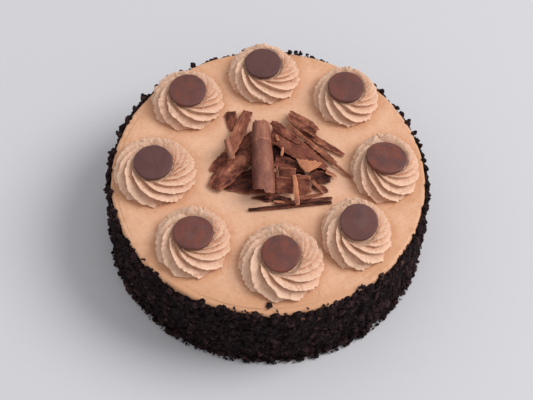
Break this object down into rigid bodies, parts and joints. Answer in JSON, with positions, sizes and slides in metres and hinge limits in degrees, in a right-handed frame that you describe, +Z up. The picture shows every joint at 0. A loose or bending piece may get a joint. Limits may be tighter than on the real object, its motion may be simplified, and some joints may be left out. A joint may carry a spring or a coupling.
{
  "type": "chocolate torte",
  "caption": "Round cake in smooth mocha cream with a crumbed side, piped rosettes that carry chocolate discs, and a heap of chocolate shavings in the middle.",
  "frame": {"origin": "centre of the cake's flat base, on the surface that it stands on", "axes": "+Z up; +Y away from the front, where the loose chocolate sticks lie; +X to the right seen from the front"},
  "size_m": [0.245, 0.2442, 0.0927],
  "materials": {
    "mocha_cream": "soft matte buttercream",
    "chocolate_crumb": "rough dry cake crumb",
    "dark_chocolate": "satin moulded chocolate",
    "chocolate_shaving": "scraped chocolate"
  },
  "bodies": {
    "root": {"bit_front": "chocolate_shaving", "cake_body": "mocha_cream", "chip_back_left": "chocolate_shaving", "chip_front": "chocolate_shaving", "chip_front_right": "chocolate_shaving", "chip_middle": "chocolate_shaving", "chocolate_disc_1": "dark_chocolate", "chocolate_disc_2": "dark_chocolate", "chocolate_disc_3": "dark_chocolate", "chocolate_disc_4": "dark_chocolate", "chocolate_disc_5": "dark_chocolate", "chocolate_disc_6": "dark_chocolate", "chocolate_disc_7": "dark_chocolate", "chocolate_disc_8": "dark_chocolate", "crumb_coat": "chocolate_crumb", "crust_front": "chocolate_shaving", "curl_large": "chocolate_shaving", "curl_small": "chocolate_shaving", "edge_right": "chocolate_shaving", "flake_beside_curl": "chocolate_shaving", "leaf_front_left": "chocolate_shaving", "leaf_low_right": "chocolate_shaving", "leaf_middle": "chocolate_shaving", "leaf_right": "chocolate_shaving", "leaf_tip_right": "chocolate_shaving", "leaf_under_middle": "chocolate_shaving", "leaf_under_right": "chocolate_shaving", "peg_middle": "chocolate_shaving", "plank_back_left": "chocolate_shaving", "plank_left": "chocolate_shaving", "plum_right": "chocolate_shaving", "ribbon_front": "chocolate_shaving", "rosette_1": "mocha_cream", "rosette_2": "mocha_cream", "rosette_3": "mocha_cream", "rosette_4": "mocha_cream", "rosette_5": "mocha_cream", "rosette_6": "mocha_cream", "rosette_7": "mocha_cream", "rosette_8": "mocha_cream", "slab_back_right": "chocolate_shaving", "slat_left": "chocolate_shaving", "sliver_middle": "chocolate_shaving", "splinter_right": "chocolate_shaving", "stick_front": "chocolate_shaving", "stick_front_back": "chocolate_shaving", "strip_front": "chocolate_shaving", "strip_middle": "chocolate_shaving", "strip_right": "chocolate_shaving", "thorn_right": "chocolate_shaving", "tip_right": "chocolate_shaving"}
  },
  "joints": []
}
